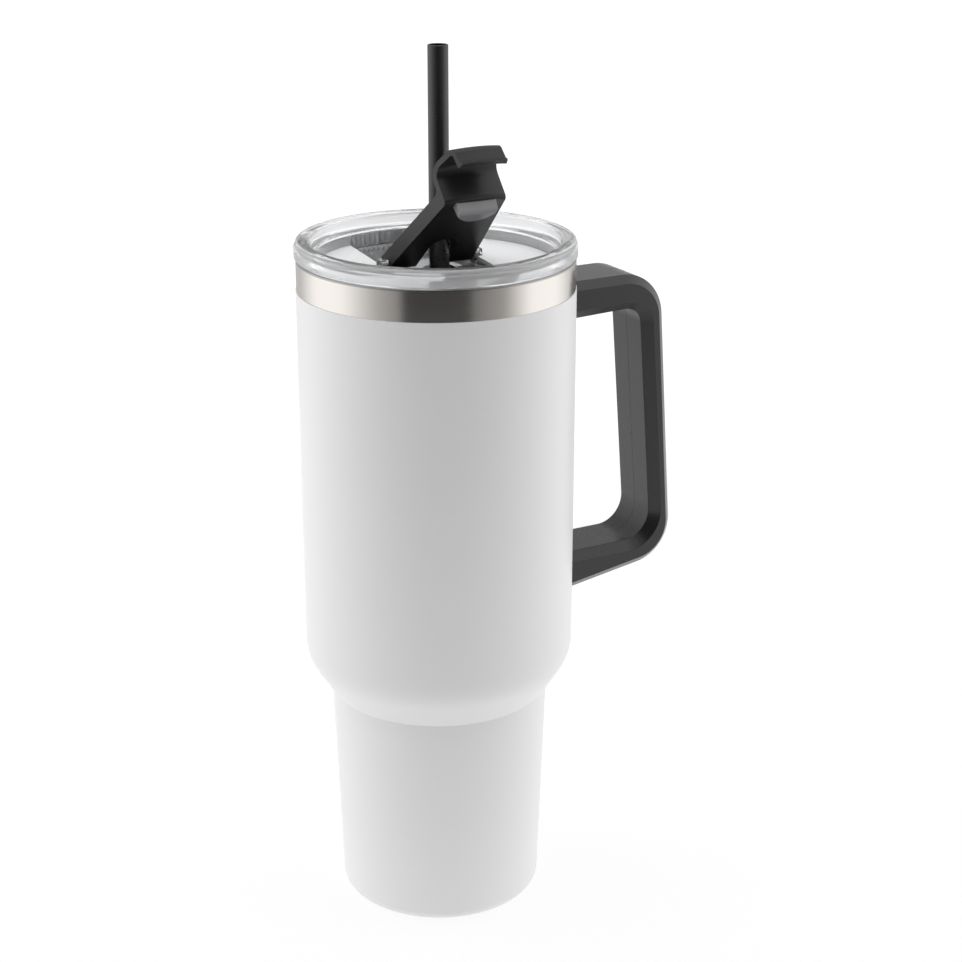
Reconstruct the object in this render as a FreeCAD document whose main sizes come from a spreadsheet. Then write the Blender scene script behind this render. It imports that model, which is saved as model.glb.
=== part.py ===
"""Insulated tumbler: double-wall steel cup, bolted side handle, clear lid, flip lever and straw.

Frame: origin on the floor at the centre of the base, +Z up the cup, the handle towards +X and
the sip opening towards -Y.  Millimetres and degrees.  The flip lever is drawn closed and then
turned open about its hinge, which is how it rests.
"""
import FreeCAD, Part
import math
import os
import re
import Sketcher
from FreeCAD import Placement, Rotation, Vector

SIZES = {
    # cup, outside
    "body_r": 50.7, "rim_z": 252.5, "rim_bend": 0.7, "band_z": 241.0,
    "shoulder_z": 105.2, "shoulder_bend": 18.4, "shoulder_slope": 33.2,
    "waist_r": 41.2, "waist_z": 85.0, "foot_r": 38.45, "foot_bend": 4.2,
    "foot_ring_r": 32.0, "base_recess": 2.4,
    # cup, walls
    "coat": 0.25, "wall": 0.8, "vacuum_gap": 2.25, "mouth_r": 47.0, "mouth_cap": 0.8,
    "liner_floor_z": 8.0, "liner_bend": 8.0,
    # base and vacuum parts
    "port_r": 1.6, "seal_head_r": 3.2, "seal_head": 0.9, "getter_r": 7.0, "getter": 1.4, "getter_x": 15.0,
    # handle, as the sharp corners of its side view before they are rounded
    "handle_w": 27.0, "handle_root_x": 46.0, "handle_top_z": 238.8, "handle_top_x": 89.9,
    "handle_low_x": 98.3, "handle_low_z": 123.6, "handle_under_z": 115.7,
    "grip_top_z": 224.2, "grip_top_x": 81.5, "grip_top_out_z": 225.4,
    "grip_low_x": 89.1, "grip_low_z": 131.4,
    "handle_top_bend": 18.0, "handle_low_bend": 16.5, "grip_top_bend": 6.5, "grip_low_bend": 11.0,
    "handle_outer_chamfer": 3.0, "grip_chamfer": 3.6,
    # handle brackets and their screws
    "bracket_w": 12.0, "bracket_l": 11.5, "bracket_t": 7.0, "upper_bracket_z": 228.2,
    "lower_bracket_z": 120.9, "socket_gap": 0.2, "screw_x": 57.2, "screw_r": 1.5,
    "screw_head_r": 2.9, "screw_head": 1.7, "screw_l": 9.0, "screw_sink": 2.0,
    "cross_w": 0.7, "cross_l": 3.2, "cross_deep": 0.9,
    # lid
    "lid_gap": 0.3, "flange_r": 51.0, "flange_h": 6.2, "flange_bevel": 1.6, "ring_r": 45.4,
    "ring_bevel_h": 4.7, "recess_r": 43.4, "plateau_z": 249.4, "channel_z": 246.6, "lid_wall": 1.8,
    "plug_r": 45.2, "plug_z": 237.4, "plug_in_r": 41.6,
    "channel_hinge_w": 18.7, "channel_taper": 0.1,
    "groove_r": 43.9, "groove_low_z": 240.5, "groove_high_z": 247.5,
    "ear_in": 17.6, "ear_out": 20.6, "ear_half": 1.8, "ear_z": 252.0,
    "snap_x": 5.5, "snap_w": 3.2, "snap_l": 2.0, "snap_h": 4.2,
    "lid_edge": 0.5, "rim_round": 1.1, "ring_round": 0.9,
    # silicone parts of the lid
    "gasket_body": 1.4, "gasket_rib": 1.0, "gasket_rib_h": 1.2,
    "grommet_r": 5.0, "grommet_flange_r": 6.5, "grommet_flange": 1.1,
    # sip opening and the seal that closes it; the D has its straight side outboard
    "sip_half": 7.8, "sip_out_y": 39.2, "sip_side": 2.6, "sip_in_y": 31.7, "sip_arc": 8.66,
    "sip_gap": 0.45, "seal_h": 4.4, "seal_taper": 5.0, "seal_round": 1.3, "stem_r": 2.2, "stem_l": 3.0,
    # flip lever, drawn closed
    "axis_y": 4.87, "axis_z": 250.54, "open_angle": 40.3,
    "lever_end_y": 6.6, "lever_low_z": 248.64, "lever_t": 5.7, "lever_end_slant": 4.8,
    "lever_w": 17.3, "step_y": 39.3, "step_w": 11.9, "lip_y": 56.0, "lip_w": 8.2,
    "notch_r": 5.7, "notch_y": 6.9,
    "pin_r": 0.8, "pin_gap": 0.05, "pin_in": 7.0, "pin_out": 20.0,
    # the lever's hook, as radii from the lid's axis and heights above the lever's underside
    "hook_root_r": 36.0, "hook_in_r": 41.2, "hook_wall": 2.2, "hook_roof": 12.8, "hook_bend": 3.6,
    "hook_heel": 1.5, "hook_neck": 1.8,
    "lip_in_r": 51.4, "lip_wall": 1.5, "lip_bend": 1.4, "lip_low": 6.8, "lip_lean": 0.5,
    "bead": 0.9, "bead_h": 1.5,
    # straw
    "straw_r": 3.675, "straw_wall": 0.65, "straw_x": 1.3, "straw_low_z": 20.0, "straw_top_z": 327.0,
    "straw_gap": 0.07,
    # depth of a cut that goes right through any piece
    "through": 640.0,
}

doc = FreeCAD.newDocument("Tumbler")
sheet = doc.addObject("Spreadsheet::Sheet", "Sizes")
for row, (alias, size) in enumerate(SIZES.items(), start=1):
    sheet.set(f"A{row}", alias)
    sheet.set(f"B{row}", str(size))
    sheet.setAlias(f"B{row}", alias)
doc.recompute()


def bound(rule):
    """Write a rule such as "body_r - wall" as an expression on the sheet's cells."""
    return re.sub(r"[a-z]\w*", lambda word: "Sizes." + word[0] if word[0] in SIZES else word[0], rule)


def number(rule):
    """Value of a rule."""
    return float(sheet.evalExpression(bound(rule)))


# ---------------------------------------------------------------- drawing helpers

def new_body(label):
    body = doc.addObject("PartDesign::Body", label)
    body.Label = label
    return body


def new_sketch(body, plane, lift=None):
    """Sketch on one of the body's origin planes, lifted along the plane's normal by a rule."""
    sketch = body.newObject("Sketcher::SketchObject", f"{body.Label}_outline")
    support = next(item for item in body.Origin.OriginFeatures if item.Role == plane)
    sketch.AttachmentSupport = (support, [""])
    sketch.MapMode = "FlatFace"
    if lift:
        sketch.setExpression("AttachmentOffset.Base.z", bound(lift))
    return sketch


def bind(sketch, kind, geometry, point, rule):
    """Hold one coordinate of a sketch point, or a radius, to a rule."""
    if kind == "Radius":
        index = sketch.addConstraint(Sketcher.Constraint(kind, geometry, number(rule)))
    elif rule == "0":
        axis = -2 if kind == "DistanceX" else -1
        sketch.addConstraint(Sketcher.Constraint("PointOnObject", geometry, point, axis))
        return
    else:
        index = sketch.addConstraint(Sketcher.Constraint(kind, geometry, point, number(rule)))
    sketch.setExpression(f"Constraints[{index}]", bound(rule))


def arc_between(start, end, radius, side):
    """Short arc from start to end, its centre to the left or right of the way along it."""
    chord = end - start
    normal = Vector(-chord.y, chord.x, 0).normalize()
    height = math.sqrt(max(radius ** 2 - (chord.Length / 2) ** 2, 0))
    turn = 1 if side == "left" else -1
    centre = (start + end) / 2 + normal * (turn * height)
    angles = [math.atan2(point.y - centre.y, point.x - centre.x) for point in (start, end)][::turn]
    return Part.ArcOfCircle(Part.Circle(centre, Vector(0, 0, 1), radius), angles[0], angles[1])


def outline(sketch, corners):
    """Closed outline through corners (x rule, y rule) or (x, y, radius, side) where an arc starts."""
    points = [Vector(number(corner[0]), number(corner[1]), 0) for corner in corners]
    ends = []
    for index, corner in enumerate(corners):
        start, end = points[index], points[(index + 1) % len(points)]
        if len(corner) == 2:
            geometry = sketch.addGeometry(Part.LineSegment(start, end), False)
            ends.append((geometry, 1, 2))
        else:
            arc = arc_between(start, end, number(corner[2]), corner[3])
            geometry = sketch.addGeometry(arc, False)
            ends.append((geometry, 1, 2) if corner[3] == "left" else (geometry, 2, 1))
    for index, (geometry, first, last) in enumerate(ends):
        following = ends[(index + 1) % len(ends)]
        sketch.addConstraint(Sketcher.Constraint("Coincident", geometry, last, following[0], following[1]))
    for corner, (geometry, first, last) in zip(corners, ends):
        bind(sketch, "DistanceX", geometry, first, corner[0])
        bind(sketch, "DistanceY", geometry, first, corner[1])
        if len(corner) == 4:
            bind(sketch, "Radius", geometry, 0, corner[2])


def circle(sketch, x, y, radius):
    centre = Vector(number(x), number(y), 0)
    geometry = sketch.addGeometry(Part.Circle(centre, Vector(0, 0, 1), number(radius)))
    bind(sketch, "DistanceX", geometry, 3, x)
    bind(sketch, "DistanceY", geometry, 3, y)
    bind(sketch, "Radius", geometry, 0, radius)


def revolve(body, corners, plane="XZ_Plane", angle=360):
    """Turn an outline (radius, height) about +Z; a part turn is centred on the sketch's plane."""
    sketch = new_sketch(body, plane)
    outline(sketch, corners)
    feature = body.newObject("PartDesign::Revolution", f"{body.Label}_Revolution")
    feature.Profile = sketch
    feature.ReferenceAxis = (sketch, ["V_Axis"])
    feature.Midplane = angle < 360
    feature.Angle = angle
    return feature


def extrude(body, sketch, length, kind="Pad", both=False, reverse=False, taper=None):
    """Pad or pocket a sketch; a pocket must take material away."""
    before = 0 if kind == "Pad" else solid_volume(body)
    feature = body.newObject(f"PartDesign::{kind}", f"{body.Label}_{kind}")
    feature.Profile = sketch
    feature.setExpression("Length", bound(length))
    feature.SideType = "Symmetric" if both else "One side"
    feature.Reversed = reverse
    if taper:
        feature.setExpression("TaperAngle", bound(taper))
    if kind == "Pocket" and solid_volume(body) >= before - 1e-6:
        raise RuntimeError(f"{feature.Label} cuts nothing")
    return feature


def shift(body, x):
    """Move a piece that was drawn on the Z axis to its place along X."""
    body.Placement = Placement(Vector(number(x), 0, 0), Rotation())
    body.setExpression("Placement.Base.x", bound(x))


def solid_volume(body):
    doc.recompute()
    return body.Shape.Volume


def rectangle(x_low, x_high, y_low, y_high):
    return [(x_low, y_low), (x_high, y_low), (x_high, y_high), (x_low, y_high)]


def dress(body, kind, size, wanted):
    """Fillet or chamfer every edge of the body's last feature that wanted(edge) picks."""
    doc.recompute()
    base = body.Tip
    names = [f"Edge{index}" for index, edge in enumerate(base.Shape.Edges, start=1) if wanted(edge)]
    if not names:
        raise RuntimeError(f"{body.Label}: no edge to {kind.lower()}")
    feature = body.newObject(f"PartDesign::{kind}", f"{body.Label}_{kind}")
    feature.Base = (base, names)
    feature.setExpression("Size" if kind == "Chamfer" else "Radius", bound(size))
    doc.recompute()
    return feature


# ---------------------------------------------------------------- cup

def cup_wall(inset):
    """Side of the cup below the straight part, moved inward by inset: shoulder arc, slope, cone."""
    bend = f"(shoulder_bend - ({inset}))"
    cone = "atan((waist_r - foot_r) / (waist_z - foot_bend))"
    mean = f"((shoulder_slope * 1 deg + {cone}) / 2)"
    half = f"((shoulder_slope * 1 deg - {cone}) / 2)"
    return {
        "straight_r": f"body_r - ({inset})",
        "arc_r": bend,
        "arc_end": (f"body_r - shoulder_bend + {bend} * cos(shoulder_slope * 1 deg)",
                    f"shoulder_z - {bend} * sin(shoulder_slope * 1 deg)"),
        "waist": (f"waist_r - ({inset}) * cos({mean}) / cos({half})",
                  f"waist_z + ({inset}) * sin({mean}) / cos({half})"),
        "cone_r": lambda height: f"foot_r - ({inset}) + ({height} - foot_bend) * tan({cone})",
    }


def shell_corners(outside, inside, top, low):
    """Closed outline of a wall between two insets, from the height top down to the foot."""
    outer, inner = cup_wall(outside), cup_wall(inside)
    foot = f"(foot_bend - ({outside}))"
    return [
        (inner["straight_r"], top), (outer["straight_r"], top),
        (outer["straight_r"], "shoulder_z", outer["arc_r"], "right"), outer["arc_end"], outer["waist"],
        (outer["cone_r"]("foot_bend"), "foot_bend", foot, "right"),
        ("foot_r - foot_bend", outside), *low,
        ("foot_r - foot_bend", inside, f"(foot_bend - ({inside}))", "left"),
        (inner["cone_r"]("foot_bend"), "foot_bend"),
        inner["waist"], (*inner["arc_end"], inner["arc_r"], "left"), (inner["straight_r"], "shoulder_z"),
    ]


def outer_shell():
    """Bare steel shell; its foot turns in and up to a ring that carries the base plate."""
    body = new_body("outer_shell")
    ring_top = "base_recess + wall"
    foot = [("foot_r - foot_bend", "0"), ("foot_ring_r", "0"), ("foot_ring_r", ring_top),
            ("foot_ring_r + wall", ring_top), ("foot_ring_r + wall", "coat + wall")]
    revolve(body, shell_corners("coat", "coat + wall", "rim_z - mouth_cap", foot))
    return body


def powder_coat():
    """Coating over the shell, from the foot up to the bare band under the rim."""
    body = new_body("powder_coat")
    revolve(body, shell_corners("0", "coat", "band_z", []))
    return body


def inner_liner():
    """Drinking vessel: hangs from a cap that closes the vacuum gap at the rim."""
    body = new_body("inner_liner")
    gap = "coat + wall + vacuum_gap"
    outer, inner = cup_wall(gap), cup_wall(gap + " + wall")
    floor_top = "liner_floor_z + wall"
    bend_z = "liner_floor_z + liner_bend"
    revolve(body, [
        ("mouth_r", "rim_z"), ("body_r - coat - rim_bend", "rim_z", "rim_bend", "right"),
        ("body_r - coat", "rim_z - rim_bend"), ("body_r - coat", "rim_z - mouth_cap"),
        (outer["straight_r"], "rim_z - mouth_cap"),
        (outer["straight_r"], "shoulder_z", outer["arc_r"], "right"), outer["arc_end"], outer["waist"],
        (outer["cone_r"](f"({bend_z})"), bend_z, "liner_bend", "right"),
        (outer["cone_r"](f"({bend_z})") + " - liner_bend", "liner_floor_z"), ("0", "liner_floor_z"),
        ("0", floor_top),
        (outer["cone_r"](f"({bend_z})") + " - liner_bend", floor_top, "liner_bend - wall", "left"),
        (inner["cone_r"](f"({bend_z})"), bend_z),
        inner["waist"], (*inner["arc_end"], inner["arc_r"], "left"), (inner["straight_r"], "shoulder_z"),
        (inner["straight_r"], "rim_z - 8 * mouth_cap"), ("mouth_r", "rim_z - 7 * mouth_cap"),
    ])
    return body


def base_plate():
    """Recessed disc inside the foot ring, with the evacuation port at its centre."""
    body = new_body("base_plate")
    low = "base_recess"
    revolve(body, rectangle("port_r", "foot_ring_r", low, low + " + wall"))
    return body


def vacuum_seal():
    """Plug that closes the evacuation port, with its head outside."""
    body = new_body("vacuum_seal")
    low = "base_recess"
    revolve(body, [("0", low + " - seal_head"), ("seal_head_r - seal_head / 2", low + " - seal_head"),
                   ("seal_head_r", low), ("port_r", low),
                   ("port_r", low + " + wall"), ("0", low + " + wall")])
    return body


def vacuum_getter():
    """Getter pellet on the base plate, inside the vacuum."""
    body = new_body("vacuum_getter")
    sketch = new_sketch(body, "XY_Plane", "base_recess + wall")
    circle(sketch, "getter_x", "0", "getter_r")
    extrude(body, sketch, "getter")
    return body


# ---------------------------------------------------------------- handle

BRACKETS = {"upper": "upper_bracket_z", "lower": "lower_bracket_z"}


def handle():
    """C-shaped moulding: rounded corners, broad chamfers, a socket and a screw hole in each arm."""
    body = new_body("handle")
    sketch = new_sketch(body, "XZ_Plane")
    outline(sketch, [
        ("handle_root_x", "handle_top_z"), ("handle_top_x", "handle_top_z"),
        ("handle_low_x", "handle_low_z"), ("handle_root_x", "handle_under_z"),
        ("handle_root_x", "grip_low_z"), ("grip_low_x", "grip_low_z"),
        ("grip_top_x", "grip_top_out_z"), ("handle_root_x", "grip_top_z"),
    ])
    extrude(body, sketch, "handle_w", both=True)
    corners = [("handle_top_x", "handle_top_z", "handle_top_bend"),
               ("handle_low_x", "handle_low_z", "handle_low_bend"),
               ("grip_top_x", "grip_top_out_z", "grip_top_bend"),
               ("grip_low_x", "grip_low_z", "grip_low_bend")]
    for x, z, bend in corners:
        dress(body, "Fillet", bend, across_at(x, z))
    dress(body, "Chamfer", "handle_outer_chamfer", lambda edge: on_side(edge) and not by_grip(edge))
    dress(body, "Chamfer", "grip_chamfer", lambda edge: on_side(edge) and by_grip(edge))
    sketch = new_sketch(body, "XY_Plane")
    circle(sketch, "0", "0", "body_r")
    extrude(body, sketch, "through", "Pocket", both=True)
    for low in BRACKETS.values():
        sketch = new_sketch(body, "XZ_Plane")
        outline(sketch, rectangle("handle_root_x", "body_r + bracket_l + socket_gap",
                                  f"{low} - socket_gap", f"{low} + bracket_t + socket_gap"))
        extrude(body, sketch, "bracket_w + 2 * socket_gap", "Pocket", both=True)
        sketch = new_sketch(body, "XY_Plane", low)
        circle(sketch, "screw_x", "0", "screw_r + pin_gap")
        extrude(body, sketch, "2 * screw_head + screw_sink", "Pocket")
        sketch = new_sketch(body, "XY_Plane", f"{low} - screw_sink")
        circle(sketch, "screw_x", "0", "screw_head_r + pin_gap")
        extrude(body, sketch, "4 * screw_head", "Pocket")
    return body


def across_at(x, z):
    """Test for the straight edge along Y at one corner of the handle's side view."""
    corner = Vector(number(x), 0, number(z))

    def wanted(edge):
        low, high = edge.Vertexes[0].Point, edge.Vertexes[-1].Point
        along_y = abs(low.x - high.x) < 1e-3 and abs(low.z - high.z) < 1e-3
        return along_y and len(edge.Vertexes) == 2 and edge.CenterOfMass.distanceToPoint(corner) < 0.01
    return wanted


def on_side(edge):
    """True for an edge in one of the handle's two side faces, beyond its root."""
    half = number("handle_w") / 2
    points = [edge.CenterOfMass] + [vertex.Point for vertex in edge.Vertexes]
    in_face = all(abs(abs(point.y) - half) < 1e-3 for point in points)
    return in_face and edge.CenterOfMass.x > number("handle_root_x") + 0.1


def by_grip(edge):
    """True for an edge round the finger gap."""
    centre, slack = edge.CenterOfMass, 0.1
    low, high = number("grip_low_z") - slack, number("grip_top_out_z") + slack
    return centre.x < number("grip_low_x") + slack and low < centre.z < high


def handle_bracket(name, low):
    """Steel tab welded to the shell, with the screw's hole from below."""
    label = f"handle_{name}_bracket"
    body = new_body(label)
    sketch = new_sketch(body, "XZ_Plane")
    outline(sketch, rectangle("handle_root_x", "body_r + bracket_l", low, f"{low} + bracket_t"))
    extrude(body, sketch, "bracket_w", both=True)
    sketch = new_sketch(body, "XY_Plane")
    circle(sketch, "0", "0", "body_r")
    extrude(body, sketch, "through", "Pocket", both=True)
    sketch = new_sketch(body, "XY_Plane", low)
    circle(sketch, "screw_x", "0", "screw_r")
    extrude(body, sketch, "bracket_t - coat", "Pocket", reverse=True)
    return body


def handle_screw(name, low):
    """Pan-head screw that holds an arm to its bracket from below."""
    body = new_body(f"handle_{name}_screw")
    head_low = f"{low} - screw_sink - screw_head"
    revolve(body, [("0", head_low), ("screw_head_r - 0.5", head_low), ("screw_head_r", head_low + " + 0.5"),
                   ("screw_head_r", head_low + " + screw_head"), ("screw_r", head_low + " + screw_head"),
                   ("screw_r", head_low + " + screw_head + screw_l - screw_sink"),
                   ("0", head_low + " + screw_head + screw_l - screw_sink")])
    for across, along in (("cross_w", "cross_l"), ("cross_l", "cross_w")):
        sketch = new_sketch(body, "XY_Plane", head_low)
        outline(sketch, rectangle(f"-{across} / 2", f"{across} / 2", f"-{along} / 2", f"{along} / 2"))
        extrude(body, sketch, "cross_deep", "Pocket", reverse=True)
    shift(body, "screw_x")
    return body


# ---------------------------------------------------------------- lid

def channel_half(distance):
    """Half-width of the channel at a distance from the hinge line, where it is widest."""
    return f"(channel_hinge_w - channel_taper * ({distance}))"


def sip_outline(grow):
    """D-shaped outline grown by a rule all round: straight side outboard, inboard side an arc."""
    half, out, side = f"(sip_half + {grow})", f"-(sip_out_y + {grow})", f"-(sip_out_y - sip_side)"
    arc = (f"(sip_arc + {grow})", "left")
    return [(f"-{half}", out), (half, out), (half, side, *arc), ("0", f"-(sip_in_y - {grow})", *arc),
            (f"-{half}", side)]


def lid_body():
    """Clear lid: flange over the rim, dished top with a channel for the lever, plug and ears."""
    body = new_body("lid_body")
    low = "rim_z + lid_gap"
    top = f"({low} + flange_h)"
    disc_low = "(channel_z - lid_wall)"
    revolve(body, [
        ("0", disc_low), ("plug_in_r", disc_low), ("plug_in_r", "plug_z"),
        ("plug_r - lid_edge", "plug_z"), ("plug_r", "plug_z + lid_edge"),
        ("plug_r", "groove_low_z"), ("groove_r", "groove_low_z"), ("groove_r", "groove_high_z"),
        ("plug_r", "groove_high_z"), ("plug_r", low),
        ("flange_r - lid_edge", low), ("flange_r", f"{low} + lid_edge"),
        ("flange_r", f"{top} - flange_bevel - lid_edge"), ("flange_r - lid_edge", f"{top} - flange_bevel"),
        ("flange_r - lid_edge", f"{top} - rim_round", "rim_round", "left"),
        ("flange_r - lid_edge - rim_round", top),
        ("ring_r + ring_round", top, "ring_round", "left"), ("ring_r", f"{top} - ring_round"),
        ("recess_r", f"{top} - ring_bevel_h"), ("recess_r", "plateau_z"), ("0", "plateau_z"),
    ])
    # channel right across the dish, widest at the hinge line
    reach_front, reach_back = "(recess_r + axis_y)", "(recess_r - axis_y)"
    sketch = new_sketch(body, "XY_Plane", "channel_z")
    front, back, hinge = channel_half(reach_front), channel_half(reach_back), channel_half("0")
    outline(sketch, [
        (f"-{front}", f"-sqrt(recess_r ^ 2 - {front} ^ 2)", "recess_r", "left"),
        (front, f"-sqrt(recess_r ^ 2 - {front} ^ 2)"), (hinge, "axis_y"),
        (back, f"sqrt(recess_r ^ 2 - {back} ^ 2)", "recess_r", "left"),
        (f"-{back}", f"sqrt(recess_r ^ 2 - {back} ^ 2)"), (f"-{hinge}", "axis_y"),
    ])
    extrude(body, sketch, "plateau_z - channel_z", "Pocket", reverse=True)
    # hollows under the two plateaus leave one wall thickness everywhere
    for side, turn in (("", "left"), ("-", "right")):
        sketch = new_sketch(body, "XY_Plane", disc_low)
        inner = f"({hinge} + lid_wall)"
        edge = f"({channel_half('plug_in_r')} + lid_wall)"
        span = f"sqrt((plug_in_r - 0.5) ^ 2 - {edge} ^ 2)"
        outline(sketch, [(f"{side}{edge}", f"-{span}", "plug_in_r - 0.5", turn), (f"{side}{edge}", span),
                         (f"{side}{inner}", "axis_y")])
        extrude(body, sketch, "plateau_z - channel_z", "Pocket", reverse=True)
    # ears that hold the hinge pins, and a small snap lug on the back wall
    for side in ("", "-"):
        sketch = new_sketch(body, "XY_Plane", "channel_z")
        ends = sorted((f"{side}ear_in", f"{side}ear_out"), key=number)
        outline(sketch, rectangle(ends[0], ends[1], "axis_y - ear_half", "axis_y + ear_half"))
        extrude(body, sketch, "ear_z - channel_z")
    sketch = new_sketch(body, "XY_Plane", "channel_z - 0.2")
    outline(sketch, rectangle("snap_x - snap_w / 2", "snap_x + snap_w / 2", "recess_r - snap_l", "recess_r"))
    extrude(body, sketch, "plateau_z - channel_z + snap_h")
    for side in ("", "-"):
        sketch = new_sketch(body, "YZ_Plane", f"{side}(ear_in - 1)")
        circle(sketch, "axis_y", "axis_z", "pin_r")
        extrude(body, sketch, "pin_out - ear_in + 1", "Pocket", reverse=side == "")
    # straw hole, sip opening
    sketch = new_sketch(body, "XY_Plane", "channel_z")
    circle(sketch, "straw_x", "0", "grommet_r")
    extrude(body, sketch, "2 * lid_wall", "Pocket")
    sketch = new_sketch(body, "XY_Plane", "channel_z")
    outline(sketch, sip_outline("sip_gap"))
    extrude(body, sketch, "2 * lid_wall", "Pocket")
    return body


def lid_gasket():
    """Silicone ring in the plug's groove, with two sealing ribs."""
    body = new_body("lid_gasket")
    face, tip = "groove_r + gasket_body", "groove_r + gasket_body + gasket_rib"
    low, high, thick = "groove_low_z", "groove_high_z", "gasket_rib_h"
    revolve(body, [
        ("groove_r", low), (face, low), (face, f"{low} + 0.6 * {thick}"), (tip, f"{low} + {thick}"),
        (tip, f"{low} + 1.6 * {thick}"), (face, f"{low} + 2.2 * {thick}"),
        (face, f"{high} - 2.2 * {thick}"), (tip, f"{high} - 1.6 * {thick}"), (tip, f"{high} - {thick}"),
        (face, f"{high} - 0.6 * {thick}"), (face, high), ("groove_r", high),
    ])
    return body


def straw_grommet():
    """Silicone ring snapped into the straw hole; the straw slides in its bore."""
    body = new_body("straw_grommet")
    bore, low, high = "straw_r + straw_gap", "(channel_z - lid_wall)", "channel_z"
    revolve(body, [
        (bore, f"{low} - grommet_flange"), ("grommet_flange_r - 0.8", f"{low} - grommet_flange"),
        ("grommet_flange_r - 0.3", low), ("grommet_r", low), ("grommet_r", high),
        ("grommet_flange_r", high), ("grommet_flange_r - 0.6", f"{high} + grommet_flange"),
        (bore, f"{high} + grommet_flange"),
    ])
    shift(body, "straw_x")
    return body


# ---------------------------------------------------------------- flip lever

def turn_open(body):
    """Turn a piece that was drawn closed about the hinge, to the open rest position."""
    angle = -number("open_angle")
    hinge = Vector(0, number("axis_y"), number("axis_z"))
    turn = Rotation(Vector(1, 0, 0), angle)
    body.Placement = Placement(hinge - turn.multVec(hinge), turn)


def flip_lever():
    """Forked plate that closes the sip opening, with a thin hook that rides over the flange."""
    body = new_body("flip_lever")
    top = "(lever_low_z + lever_t)"
    sketch = new_sketch(body, "YZ_Plane")
    outline(sketch, [("lever_end_y", "lever_low_z"), ("lever_end_y + lever_end_slant", top),
                     ("-hook_root_r - 1", top), ("-hook_root_r - 1", "lever_low_z")])
    extrude(body, sketch, "2 * lever_w", both=True)
    # hook: revolved about the lid's axis so that it follows the flange
    roof, lip_low = "lever_low_z + hook_roof", "lever_low_z + lip_low"
    outer_bend, lip_out = "(hook_bend + hook_wall)", "(lip_in_r + lip_lean + lip_wall)"
    wall_y = "(-hook_in_r + hook_wall)"
    revolve(body, [
        ("-hook_root_r", "lever_low_z"), ("-hook_in_r + hook_heel", "lever_low_z", "hook_heel", "right"),
        ("-hook_in_r", "lever_low_z + hook_heel"),
        ("-hook_in_r", f"{roof} - hook_bend", "hook_bend", "left"), ("-hook_in_r - hook_bend", roof),
        ("-lip_in_r + lip_bend", roof, "lip_bend", "left"), ("-lip_in_r", f"{roof} - lip_bend"),
        ("-lip_in_r - lip_lean", lip_low), (f"-{lip_out} - bead", lip_low),
        (f"-{lip_out} - bead", f"{lip_low} + bead_h / 2"), (f"-{lip_out}", f"{lip_low} + bead_h"),
        ("-lip_in_r - lip_wall", f"{roof} - lip_bend", "lip_bend + hook_wall", "right"),
        ("-lip_in_r + lip_bend", f"{roof} + hook_wall"),
        ("-hook_in_r - hook_bend", f"{roof} + hook_wall", outer_bend, "right"),
        (wall_y, f"{roof} - hook_bend"), (wall_y, f"{top} + hook_neck", "hook_neck", "left"),
        (f"{wall_y} + hook_neck", top), ("-hook_root_r", top),
    ], plane="YZ_Plane", angle=60)
    # tapered plan: what lies outside it is cut away on both sides
    for side in ("", "-"):
        sketch = new_sketch(body, "XY_Plane")
        clear = f"{side}body_r"
        outline(sketch, [(f"{side}lever_w", "lever_end_y + 9"), (f"{side}lever_w", "lever_end_y"),
                         (f"{side}step_w", "-step_y"), (f"{side}lip_w", "-lip_y"), (clear, "-lip_y - 9"),
                         (clear, "lever_end_y + 9")])
        extrude(body, sketch, "through", "Pocket", both=True)
    # notch for the straw, open at the hinge end
    sketch = new_sketch(body, "XY_Plane")
    outline(sketch, [("-notch_r", "lever_end_y + 9"), ("-notch_r", "-notch_y", "notch_r", "left"),
                     ("0", "-notch_y - notch_r", "notch_r", "left"), ("notch_r", "-notch_y"),
                     ("notch_r", "lever_end_y + 9")])
    extrude(body, sketch, "through", "Pocket", both=True)
    sketch = new_sketch(body, "YZ_Plane")
    circle(sketch, "axis_y", "axis_z", "pin_r + pin_gap")
    extrude(body, sketch, "through", "Pocket", both=True)
    sketch = new_sketch(body, "XY_Plane", "lever_low_z")
    circle(sketch, "0", "-(sip_out_y + sip_in_y) / 2", "stem_r")
    extrude(body, sketch, "stem_l", "Pocket", reverse=True)
    turn_open(body)
    return body


def flip_seal():
    """Silicone stopper under the lever: a tapered D, held by a stem in the lever."""
    body = new_body("flip_seal")
    sketch = new_sketch(body, "XY_Plane", "lever_low_z")
    outline(sketch, sip_outline("0"))
    extrude(body, sketch, "seal_h", reverse=True, taper="-seal_taper")
    tip = number("lever_low_z - seal_h")
    dress(body, "Fillet", "seal_round", lambda edge: all(abs(end.Z - tip) < 1e-3 for end in edge.Vertexes))
    sketch = new_sketch(body, "XY_Plane", "lever_low_z")
    circle(sketch, "0", "-(sip_out_y + sip_in_y) / 2", "stem_r")
    extrude(body, sketch, "stem_l")
    turn_open(body)
    return body


def hinge_pin(name, side):
    """Short steel pin from one ear of the lid into the lever's arm."""
    body = new_body(f"hinge_pin_{name}")
    sketch = new_sketch(body, "YZ_Plane", f"{side}pin_in")
    circle(sketch, "axis_y", "axis_z", "pin_r")
    extrude(body, sketch, "pin_out - pin_in", reverse=side == "-")
    return body


def straw():
    """Straight plain tube through the grommet."""
    body = new_body("straw")
    revolve(body, rectangle("straw_r - straw_wall", "straw_r", "straw_low_z", "straw_top_z"))
    shift(body, "straw_x")
    return body


# ---------------------------------------------------------------- build, check and write

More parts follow.
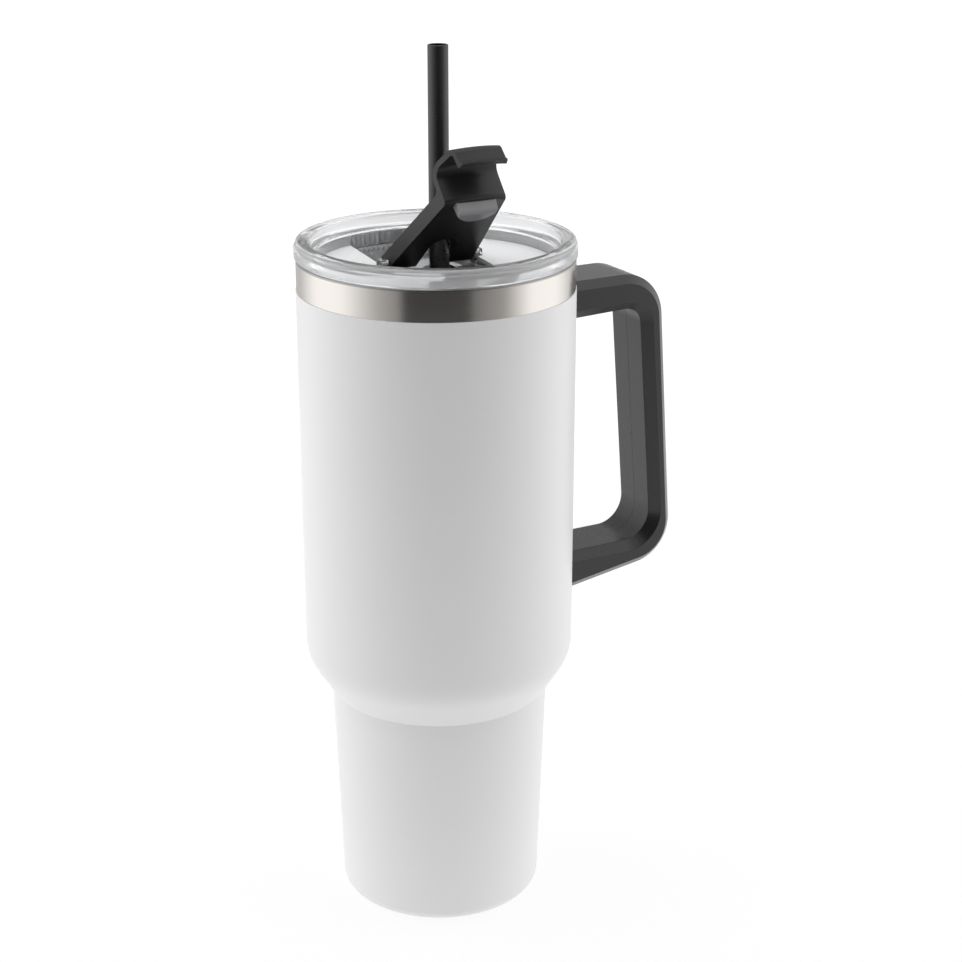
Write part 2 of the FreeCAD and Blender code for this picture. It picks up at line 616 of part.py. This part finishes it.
pieces = [outer_shell(), powder_coat(), inner_liner(), base_plate(), vacuum_seal(), vacuum_getter(), handle()]
for arm, arm_z in BRACKETS.items():
    pieces += [handle_bracket(arm, arm_z), handle_screw(arm, arm_z)]
pieces += [lid_body(), lid_gasket(), straw_grommet(), flip_lever(), flip_seal()]
pieces += [hinge_pin("left", "-"), hinge_pin("right", ""), straw()]
doc.recompute()

for item in doc.Objects:
    if "Invalid" in item.State or "Error" in item.State:
        raise RuntimeError(f"{item.Label} failed: {item.State}")
os.makedirs("parts", exist_ok=True)
for piece in pieces:
    shape = piece.Shape
    if shape.isNull() or not shape.isValid() or len(shape.Solids) != 1:
        raise RuntimeError(f"{piece.Label} is not one valid solid")
    shape.exportStep(f"parts/{piece.Label}.step")
    print(f"{piece.Label}: {shape.Volume / 1000:.2f} cm3")
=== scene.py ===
"""Looks of the insulated tumbler: studio, camera, procedural materials and detailed meshes."""
import math
import bmesh
import bpy
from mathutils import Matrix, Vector


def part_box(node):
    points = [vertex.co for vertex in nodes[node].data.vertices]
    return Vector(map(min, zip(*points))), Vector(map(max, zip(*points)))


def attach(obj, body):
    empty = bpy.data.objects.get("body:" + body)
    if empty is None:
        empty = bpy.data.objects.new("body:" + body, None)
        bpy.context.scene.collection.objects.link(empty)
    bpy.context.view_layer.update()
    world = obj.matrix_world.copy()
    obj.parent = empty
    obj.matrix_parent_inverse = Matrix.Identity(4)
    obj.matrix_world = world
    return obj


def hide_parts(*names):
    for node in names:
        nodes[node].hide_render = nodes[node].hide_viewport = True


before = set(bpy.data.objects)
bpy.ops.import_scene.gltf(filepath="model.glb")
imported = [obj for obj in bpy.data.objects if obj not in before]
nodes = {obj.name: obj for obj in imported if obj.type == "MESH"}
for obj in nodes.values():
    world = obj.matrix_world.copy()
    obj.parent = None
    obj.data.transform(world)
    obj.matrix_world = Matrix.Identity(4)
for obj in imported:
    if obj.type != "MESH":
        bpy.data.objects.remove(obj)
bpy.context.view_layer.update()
scene = bpy.context.scene
MM = 0.001


# ---------------------------------------------------------------- camera and studio

VIEW_AZIMUTH = 27.5      # degrees the camera stands round from -Y towards -X
VIEW_DISTANCE = 0.70     # from the cup's axis, along the floor
VIEW_HEIGHT = 0.419
VIEW_PITCH = 19.86       # degrees below the horizon
VIEW_YAW = 1.32          # degrees to the right of the cup's axis
VIEW_LENS = 74.47        # mm on a 36 mm sensor


def around(azimuth, distance, height):
    """Point at an azimuth round from -Y towards -X."""
    angle = math.radians(azimuth)
    return Vector((-distance * math.sin(angle), -distance * math.cos(angle), height))


def make_camera():
    data = bpy.data.cameras.new("camera")
    data.lens = VIEW_LENS
    data.sensor_width = 36
    camera = bpy.data.objects.new("camera", data)
    scene.collection.objects.link(camera)
    camera.location = around(VIEW_AZIMUTH, VIEW_DISTANCE, VIEW_HEIGHT)
    heading = -math.radians(VIEW_AZIMUTH + VIEW_YAW)
    camera.rotation_euler = (math.radians(90 - VIEW_PITCH), 0, heading)
    scene.camera = camera


def new_material(name):
    material = bpy.data.materials.new(name)
    material.use_nodes = True
    return material, material.node_tree.nodes, material.node_tree.links


def make_floor():
    """Level floor that both glows and scatters, so that shadows on it stay faint."""
    half = FLOOR_SIZE / 2
    corners = [(-half, -half, 0), (half, -half, 0), (half, half, 0), (-half, half, 0)]
    mesh = bpy.data.meshes.new("floor")
    mesh.from_pydata(corners, [], [(0, 1, 2, 3)])
    sheet = bpy.data.objects.new("floor", mesh)
    scene.collection.objects.link(sheet)
    material, tree, _ = new_material("floor")
    shader = tree["Principled BSDF"]
    shader.inputs["Base Color"].default_value = (*FLOOR_COLOUR, 1)
    shader.inputs["Roughness"].default_value = 1
    shader.inputs["Specular IOR Level"].default_value = 0
    shader.inputs["Emission Color"].default_value = (1, 1, 1, 1)
    shader.inputs["Emission Strength"].default_value = FLOOR_GLOW
    mesh.materials.append(material)


SKY_GLOW = 1.5
FLOOR_SIZE = 6
FLOOR_GLOW = 0.82
FLOOR_COLOUR = (0.20, 0.20, 0.20)
CURTAIN_RADIUS = 0.55
CURTAIN_FOOT = 0.04
CURTAIN_HEIGHT = 0.91
CURTAIN_STRIPS = 180
# the curtain's brightness at angles round from the camera's side, to its left and to its right
GLOW_LEFT = ((0, 0.02), (25, 0.02), (28, 0.32), (47, 0.58),
             (80, 1.5), (110, 1.5), (140, 0.7), (180, 0.5))
GLOW_RIGHT = ((0, 0.02), (24, 0.02), (30, 0.22), (54, 0.44),
              (80, 1.5), (110, 1.5), (140, 0.7), (180, 0.5))


def glow_at(angle):
    """Brightness at an angle in degrees, left of the camera's side when positive."""
    steps = GLOW_LEFT if angle >= 0 else GLOW_RIGHT
    angle = abs(angle)
    for (low, glow_low), (high, glow_high) in zip(steps, steps[1:]):
        if angle <= high:
            return glow_low + (glow_high - glow_low) * (angle - low) / (high - low)
    return steps[-1][1]


def make_curtain():
    """Round diffuser about the cup: bright beside it, dimmer behind, dark behind the camera."""
    verts, faces = [], []
    for index in range(CURTAIN_STRIPS):
        foot = around(VIEW_AZIMUTH + 360 * index / CURTAIN_STRIPS, CURTAIN_RADIUS, CURTAIN_FOOT)
        verts += [foot, foot + Vector((0, 0, CURTAIN_HEIGHT))]
        here, there = 2 * index, 2 * ((index + 1) % CURTAIN_STRIPS)
        faces.append((here, there, there + 1, here + 1))
    mesh = bpy.data.meshes.new("curtain")
    mesh.from_pydata(verts, [], faces)
    glow = mesh.attributes.new("glow", "FLOAT", "FACE")
    for index in range(CURTAIN_STRIPS):
        angle = 360 * (index + 0.5) / CURTAIN_STRIPS
        glow.data[index].value = glow_at(angle if angle <= 180 else angle - 360)
    curtain = bpy.data.objects.new("curtain", mesh)
    scene.collection.objects.link(curtain)
    material, tree, links = new_material("curtain")
    value = tree.new("ShaderNodeAttribute")
    value.attribute_name = "glow"
    light = tree.new("ShaderNodeEmission")
    links.new(value.outputs["Fac"], light.inputs["Strength"])
    links.new(light.outputs["Emission"], tree["Material Output"].inputs["Surface"])
    mesh.materials.append(material)
    curtain.visible_camera = False
    curtain.visible_shadow = False
    curtain.visible_transmission = False


def make_studio():
    """White surroundings and floor, with the curtain that shapes the round body."""
    world = bpy.data.worlds.new("studio")
    scene.world = world
    world.use_nodes = True
    background = world.node_tree.nodes["Background"]
    background.inputs["Color"].default_value = (1, 1, 1, 1)
    background.inputs["Strength"].default_value = SKY_GLOW
    make_floor()
    make_curtain()
    scene.view_settings.view_transform = "Standard"


# ---------------------------------------------------------------- materials

def coordinates(tree, links, scale):
    """Object coordinates in metres, scaled along each axis."""
    source = tree.new("ShaderNodeTexCoord")
    mapping = tree.new("ShaderNodeMapping")
    mapping.inputs["Scale"].default_value = scale
    links.new(source.outputs["Object"], mapping.inputs["Vector"])
    return mapping.outputs["Vector"]


def noise(tree, links, scale, detail=3, stretch=(1, 1, 1)):
    texture = tree.new("ShaderNodeTexNoise")
    texture.inputs["Scale"].default_value = scale
    texture.inputs["Detail"].default_value = detail
    links.new(coordinates(tree, links, stretch), texture.inputs["Vector"])
    return texture.outputs["Fac"]


def spread(tree, links, value, low, high):
    """Map a 0 to 1 texture value to a range."""
    node = tree.new("ShaderNodeMapRange")
    node.inputs["From Min"].default_value = 0.3
    node.inputs["From Max"].default_value = 0.7
    node.inputs["To Min"].default_value = low
    node.inputs["To Max"].default_value = high
    links.new(value, node.inputs["Value"])
    return node.outputs["Result"]


def blend_colours(tree, links, value, low, high):
    node = tree.new("ShaderNodeMix")
    node.data_type = "RGBA"
    node.inputs["A"].default_value = (*low, 1)
    node.inputs["B"].default_value = (*high, 1)
    links.new(value, node.inputs["Factor"])
    return node.outputs["Result"]


def surface(name, low, high, rough, rough_spread=0.05, metal=0, grain=900, grain_depth=0.02,
            stretch=(1, 1, 1), cloud=25):
    """Moulded, painted or metal surface: slow colour and gloss change, fine grain in relief."""
    material, tree, links = new_material(name)
    shader = tree["Principled BSDF"]
    shader.inputs["Metallic"].default_value = metal
    slow = noise(tree, links, cloud, 4)
    fine = noise(tree, links, grain, 3, stretch)
    links.new(blend_colours(tree, links, slow, low, high), shader.inputs["Base Color"])
    mixed = tree.new("ShaderNodeMath")
    mixed.operation = "ADD"
    links.new(spread(tree, links, fine, -rough_spread / 2, rough_spread / 2), mixed.inputs[0])
    gloss = spread(tree, links, slow, rough - rough_spread / 2, rough + rough_spread / 2)
    links.new(gloss, mixed.inputs[1])
    links.new(mixed.outputs["Value"], shader.inputs["Roughness"])
    bump = tree.new("ShaderNodeBump")
    bump.inputs["Strength"].default_value = 1
    bump.inputs["Distance"].default_value = grain_depth * MM
    links.new(fine, bump.inputs["Height"])
    links.new(bump.outputs["Normal"], shader.inputs["Normal"])
    return material, shader


def clear(name, colour, rough, grain=60, grain_depth=0.03):
    """Clear moulded plastic with faint flow marks."""
    material, tree, links = new_material(name)
    shader = tree["Principled BSDF"]
    shader.inputs["Base Color"].default_value = (*colour, 1)
    shader.inputs["Roughness"].default_value = rough
    shader.inputs["IOR"].default_value = 1.54
    shader.inputs["Transmission Weight"].default_value = 1
    bump = tree.new("ShaderNodeBump")
    bump.inputs["Distance"].default_value = grain_depth * MM
    bump.inputs["Strength"].default_value = 1
    links.new(noise(tree, links, grain, 2), bump.inputs["Height"])
    links.new(bump.outputs["Normal"], shader.inputs["Normal"])
    return material


def brushed(name, low, high, rough):
    """Steel brushed round the axis: fine lines that run level."""
    return surface(name, low, high, rough, 0.06, metal=1, grain=60, grain_depth=0.0015,
                   stretch=(1, 1, 150), cloud=12)[0]


def give(target, material):
    """Put a material on every slot of an object."""
    if not target.material_slots:
        target.data.materials.append(material)
    for slot in target.material_slots:
        slot.material = material


def clear_with_painted_highlight(name, rough, transmission, grain=60):
    """Clear plastic made partly white and diffuse: painted highlight that stands in for bright
    reflections.
    """
    material = clear(name, (0.95, 0.955, 0.965), rough, grain, 0.01)
    shader = material.node_tree.nodes["Principled BSDF"]
    shader.inputs["Transmission Weight"].default_value = transmission
    return material


# ---------------------------------------------------------------- pieces

SOCKET_REACH = 13         # mm from the body to where the handle is solid again
PLATEAU_DEPTH = 9.6       # mm from the top of the lid down to its two flats
RECESS_RADIUS = 43.3      # mm, of the lid's dish
SAME_LEVEL = 0.05         # mm within which a face counts as part of a flat
MERGE_REACH = 1e-6        # m within which two corners are one
FLAT_ANGLE = 0.6          # degrees below which neighbouring faces are joined
ROUND_ANGLE = 24          # degrees above which an edge is rounded
SHARP_ANGLE = 38          # degrees above which an edge stays sharp in the shading


def soft_copy(name, body, width, segments=3):
    """Copy of a CAD node that stands for it, its edges rounded or, with one segment, chamfered."""
    node = nodes[name]
    mesh = node.data.copy()
    piece = bpy.data.objects.new(f"{name}_finished", mesh)
    scene.collection.objects.link(piece)
    edit = bmesh.new()
    edit.from_mesh(mesh)
    bmesh.ops.remove_doubles(edit, verts=edit.verts, dist=MERGE_REACH)
    bmesh.ops.dissolve_limit(edit, angle_limit=math.radians(FLAT_ANGLE),
                             verts=edit.verts, edges=edit.edges)
    edit.to_mesh(mesh)
    edit.free()
    if "custom_normal" in mesh.attributes:
        mesh.attributes.remove(mesh.attributes["custom_normal"])
    bevel = piece.modifiers.new("round", "BEVEL")
    bevel.width = width * MM
    bevel.segments = segments
    bevel.limit_method = "ANGLE"
    bevel.angle_limit = math.radians(ROUND_ANGLE)
    apply_modifiers(piece)
    piece.data.shade_smooth()
    piece.data.set_sharp_from_angle(angle=math.radians(SHARP_ANGLE))
    if segments > 1:
        level = piece.modifiers.new("level", "WEIGHTED_NORMAL")
        level.keep_sharp = True
        apply_modifiers(piece)
    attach(piece, body)
    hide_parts(name)
    return piece


def apply_modifiers(piece):
    graph = bpy.context.evaluated_depsgraph_get()
    mesh = bpy.data.meshes.new_from_object(piece.evaluated_get(graph))
    piece.modifiers.clear()
    piece.data = mesh


def parting_line(piece, body, radius):
    """Fine moulding bead along the middle plane, where the handle's two mould halves met."""
    edit = bmesh.new()
    edit.from_mesh(piece.data)
    whole = edit.verts[:] + edit.edges[:] + edit.faces[:]
    cut = bmesh.ops.bisect_plane(edit, geom=whole, dist=1e-7, plane_co=(0, 0, 0),
                                 plane_no=(0, 1, 0))["geom_cut"]
    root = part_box("powder_coat")[1][0] + SOCKET_REACH * MM
    edges = {item for item in cut if isinstance(item, bmesh.types.BMEdge)
             and min(vert.co.x for vert in item.verts) > root}
    curve = bpy.data.curves.new("handle_parting_line", "CURVE")
    curve.dimensions = "3D"
    curve.bevel_depth = radius * MM
    curve.bevel_resolution = 2
    curve.use_fill_caps = True
    for run in edge_runs(edges):
        spline = curve.splines.new("POLY")
        spline.points.add(len(run) - 1)
        for point, place in zip(spline.points, run):
            point.co = (*place, 1)
    edit.free()
    wire = bpy.data.objects.new("parting_wire", curve)
    graph = bpy.context.evaluated_depsgraph_get()
    mesh = bpy.data.meshes.new_from_object(wire.evaluated_get(graph))
    bpy.data.objects.remove(wire)
    mesh.shade_smooth()
    line = bpy.data.objects.new("handle_parting_line", mesh)
    scene.collection.objects.link(line)
    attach(line, body)
    return line


def edge_runs(edges):
    """Chain edges end to end; each run is the list of its points."""
    runs = []
    while edges:
        ends = [vert for edge in edges for vert in edge.verts
                if sum(link in edges for link in vert.link_edges) == 1]
        vert = min(ends, key=lambda end: end.co.z) if ends else next(iter(edges)).verts[0]
        run = [vert.co.copy()]
        step = next((link for link in vert.link_edges if link in edges), None)
        while step:
            edges.remove(step)
            vert = step.other_vert(vert)
            run.append(vert.co.copy())
            step = next((link for link in vert.link_edges if link in edges), None)
        runs.append(run)
    return runs


def moulded(name, low, high, rough, grain=900, grain_depth=0.012, ior=1.5, sheen=0):
    """Opaque moulded plastic, paint or rubber."""
    material, shader = surface(name, low, high, rough, grain=grain, grain_depth=grain_depth)
    shader.inputs["IOR"].default_value = ior
    shader.inputs["Sheen Weight"].default_value = sheen
    shader.inputs["Sheen Roughness"].default_value = 0.4
    return material


def dress_metal_and_silicone():
    """Materials of the CAD nodes whose shape is already right."""
    steel = brushed("brushed_band", (0.58, 0.55, 0.52), (0.66, 0.63, 0.60), 0.2)
    # The liner is the same steel as the other satin parts, made darker: painted shade inside the
    # cup.
    liner = brushed("satin_liner_painted_shade", (0.30, 0.30, 0.30), (0.38, 0.38, 0.38), 0.3)
    satin = brushed("satin_steel", (0.50, 0.50, 0.50), (0.58, 0.58, 0.58), 0.3)
    coat = moulded("powder_coat_white", (0.83, 0.83, 0.835), (0.86, 0.86, 0.865), 0.42, 1500)
    getter = surface("getter_grey", (0.10, 0.10, 0.11), (0.16, 0.16, 0.17), 0.6, metal=1)[0]
    pale = moulded("silicone_pale", (0.74, 0.75, 0.76), (0.80, 0.81, 0.82), 0.38, 500)
    dark = moulded("silicone_dark", (0.02, 0.02, 0.02), (0.03, 0.03, 0.03), 0.45, 500)
    groups = {
        coat: ["powder_coat"],
        steel: ["outer_shell"],
        liner: ["inner_liner"],
        satin: ["base_plate", "vacuum_seal", "handle_upper_bracket", "handle_lower_bracket",
                "handle_upper_screw", "handle_lower_screw", "hinge_pin_left", "hinge_pin_right"],
        getter: ["vacuum_getter"],
        pale: ["lid_gasket"],
        dark: ["straw_grommet"],
    }
    for material, names in groups.items():
        for name in names:
            give(nodes[name], material)


def dress_plastic():
    """Finished copies of the moulded pieces, with their edges rounded."""
    grip = moulded("handle_black", (0.009, 0.009, 0.010), (0.013, 0.013, 0.014),
                   0.3, 1100, 0.015, 1.5, 0.22)
    handle = soft_copy("handle", "cup", 0.7)
    give(handle, grip)
    give(parting_line(handle, "cup", 0.045), grip)
    lever = soft_copy("flip_lever", "flip", 0.4)
    give(lever, moulded("lever_black", (0.013, 0.013, 0.014), (0.018, 0.018, 0.019),
                        0.36, 1200, 0.015, 1.36))
    seal = soft_copy("flip_seal", "flip", 0.4)
    give(seal, moulded("silicone_grey", (0.24, 0.24, 0.25), (0.28, 0.28, 0.29),
                       0.24, 500, 0.006))
    straw = soft_copy("straw", "straw", 0.15, 1)
    give(straw, moulded("straw_black", (0.015, 0.015, 0.016), (0.021, 0.021, 0.022),
                        0.3, 700, 0.01))


def dress_lid():
    """Clear lid whose thick rim and matt flats beside the channel are made brighter with whitened
    stock: painted highlight that stands in for bright reflections.
    """
    lid = soft_copy("lid_body", "lid", 0.2, 1)
    give(lid, clear("lid_clear", (0.97, 0.975, 0.98), 0.06))
    # The rim is clear stock; its white haze is painted highlight standing in for the bright
    # reflections in it.
    rim = clear_with_painted_highlight("lid_rim_painted_highlight", 0.06, 0.72)
    # Flats: the matt roughness is their own texture; their near-opaque white is painted highlight
    # for a bright reflection.
    flats = clear_with_painted_highlight("lid_frosted_painted_highlight", 0.35, 0.12, grain=1500)
    lid.data.materials.append(rim)
    lid.data.materials.append(flats)
    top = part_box("lid_body")[1][2]
    plateau = top - PLATEAU_DEPTH * MM
    # Faces of the flats and of the rim get the whitened materials: painted highlight placed by
    # height and radius.
    for face in lid.data.polygons:
        centre = face.center
        if face.normal.z > 0.99 and abs(centre.z - plateau) < SAME_LEVEL * MM:
            face.material_index = 2
        elif math.hypot(centre.x, centre.y) > RECESS_RADIUS * MM and centre.z > plateau:
            face.material_index = 1


make_camera()
make_studio()
dress_metal_and_silicone()
dress_plastic()
dress_lid()
